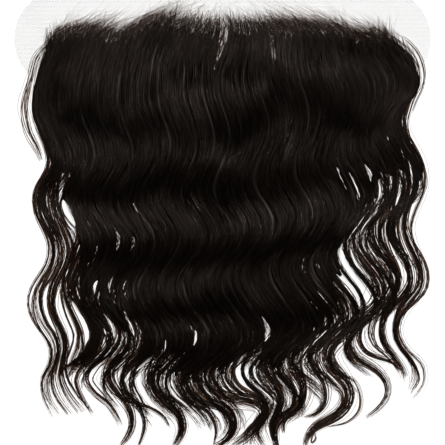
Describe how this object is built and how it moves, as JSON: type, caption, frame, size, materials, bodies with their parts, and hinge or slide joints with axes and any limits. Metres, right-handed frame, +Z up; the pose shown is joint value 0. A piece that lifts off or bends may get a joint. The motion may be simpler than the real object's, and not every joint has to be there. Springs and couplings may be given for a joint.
{
  "type": "lace frontal",
  "caption": "Ear-to-ear strip of fine lace with long wavy hair knotted into it, parted twice, laid flat with the hair combed down.",
  "frame": {"origin": "centre of the whole piece's outline, on the surface that it lies on", "axes": "+X across from the left end of the lace to the right as seen from above, +Y from the hair's tips to the front edge of the lace, +Z up from the surface"},
  "size_m": [0.358, 0.406, 0.0165],
  "materials": {
    "lace": "fine translucent net",
    "hair": "soft gloss along the strands",
    "fine_hair": "sparse fine strands"
  },
  "bodies": {
    "root": {"lace_base": "lace", "hair_left": "hair", "hair_middle": "hair", "hair_right": "hair", "under_hair_left": "hair", "under_hair_right": "hair", "hairline_left": "fine_hair", "hairline_right": "fine_hair"}
  },
  "joints": []
}
